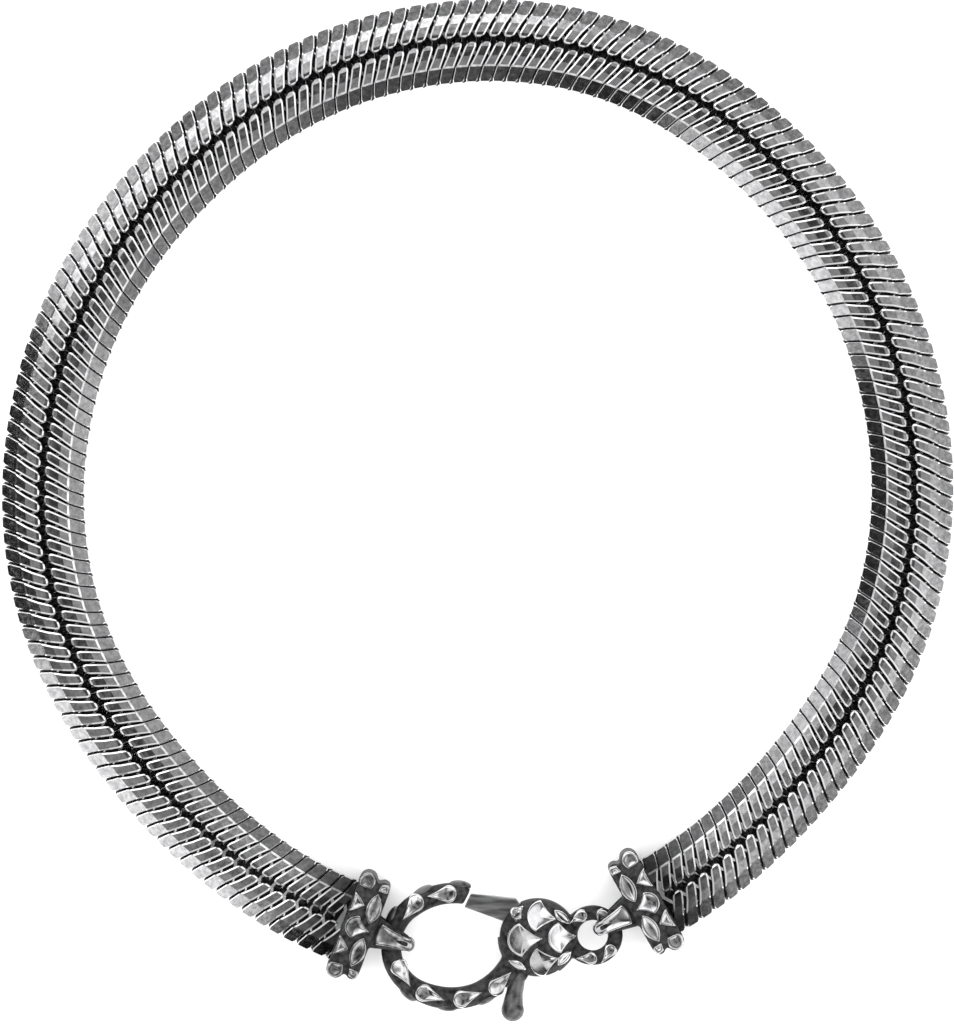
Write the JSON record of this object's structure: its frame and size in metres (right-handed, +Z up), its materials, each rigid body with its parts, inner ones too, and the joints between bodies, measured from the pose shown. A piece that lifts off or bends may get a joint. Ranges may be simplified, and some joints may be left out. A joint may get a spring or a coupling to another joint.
{
  "type": "curb chain bracelet",
  "caption": "Closed tight curb chain bracelet of interlocked links, with scale-relief end caps and a hook clasp with a hinged gate.",
  "frame": {"origin": "on the surface it lies on, below the middle of its outline", "axes": "+Z up out of the surface, +Y from the clasp to the far side of the ring, +X to the eye end of the clasp"},
  "size_m": [0.0696, 0.0748, 0.006],
  "materials": {
    "chain_silver": "polished silver, black in the gaps",
    "cast_silver": "polished scales on a blackened ground",
    "satin_silver": "satin, darkened"
  },
  "bodies": {
    "bracelet": {"chain_left_half": "chain_silver", "chain_right_half": "chain_silver", "end_cap_left": "cast_silver", "end_cap_right": "cast_silver", "clasp_body": "cast_silver", "clasp_pin": "satin_silver"},
    "lever": {"clasp_lever": "satin_silver"}
  },
  "joints": [
    {"name": "lever_hinge", "type": "hinge", "parent": "bracelet", "child": "lever", "pos_m": [0.00305, -0.0297, 0.003], "axis": [0, 0, 1], "range_deg": [0, 25], "stiffness_Nm_per_rad": 0.002}
  ]
}
